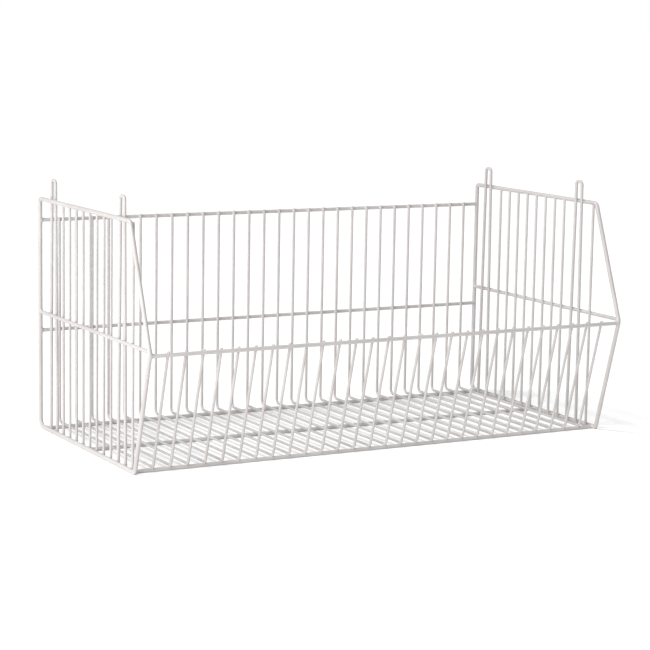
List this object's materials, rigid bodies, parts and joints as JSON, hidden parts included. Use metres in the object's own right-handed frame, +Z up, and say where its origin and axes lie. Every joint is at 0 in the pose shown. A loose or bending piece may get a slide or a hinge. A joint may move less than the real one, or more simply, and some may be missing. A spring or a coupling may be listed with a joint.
{
  "type": "wire mesh container",
  "caption": "Open-fronted welded wire stacking basket: two bent side frames joined by rails, U-shaped mesh wires, upright side wires and hairpin stacking prongs.",
  "frame": {"origin": "on the floor, at the centre of the bounding box's base", "axes": "+X to the right of someone facing the open front, along the rails; -Y towards the open front and its nose, +Y towards the upright back; +Z up"},
  "size_m": [1, 0.525, 0.488],
  "materials": {
    "white_coating": "satin"
  },
  "bodies": {
    "root": {"back_mid_rail": "white_coating", "back_top_rail": "white_coating", "floor_rail_front": "white_coating", "floor_rail_middle": "white_coating", "floor_rail_rear": "white_coating", "mesh_wire_01": "white_coating", "mesh_wire_02": "white_coating", "mesh_wire_03": "white_coating", "mesh_wire_04": "white_coating", "mesh_wire_05": "white_coating", "mesh_wire_06": "white_coating", "mesh_wire_07": "white_coating", "mesh_wire_08": "white_coating", "mesh_wire_09": "white_coating", "mesh_wire_10": "white_coating", "mesh_wire_11": "white_coating", "mesh_wire_12": "white_coating", "mesh_wire_13": "white_coating", "mesh_wire_14": "white_coating", "mesh_wire_15": "white_coating", "mesh_wire_16": "white_coating", "mesh_wire_17": "white_coating", "mesh_wire_18": "white_coating", "mesh_wire_19": "white_coating", "mesh_wire_20": "white_coating", "mesh_wire_21": "white_coating", "mesh_wire_22": "white_coating", "mesh_wire_23": "white_coating", "mesh_wire_24": "white_coating", "mesh_wire_25": "white_coating", "mesh_wire_26": "white_coating", "mesh_wire_27": "white_coating", "mesh_wire_28": "white_coating", "nose_rail": "white_coating", "side_frame_left": "white_coating", "side_frame_right": "white_coating", "side_rail_left": "white_coating", "side_rail_right": "white_coating", "side_wire_left_1": "white_coating", "side_wire_left_2": "white_coating", "side_wire_left_3": "white_coating", "side_wire_left_4": "white_coating", "side_wire_left_5": "white_coating", "side_wire_left_6": "white_coating", "side_wire_left_7": "white_coating", "side_wire_left_8": "white_coating", "side_wire_left_9": "white_coating", "side_wire_right_1": "white_coating", "side_wire_right_2": "white_coating", "side_wire_right_3": "white_coating", "side_wire_right_4": "white_coating", "side_wire_right_5": "white_coating", "side_wire_right_6": "white_coating", "side_wire_right_7": "white_coating", "side_wire_right_8": "white_coating", "side_wire_right_9": "white_coating", "stacking_prong_left_front": "white_coating", "stacking_prong_left_rear": "white_coating", "stacking_prong_right_front": "white_coating", "stacking_prong_right_rear": "white_coating"}
  },
  "joints": []
}
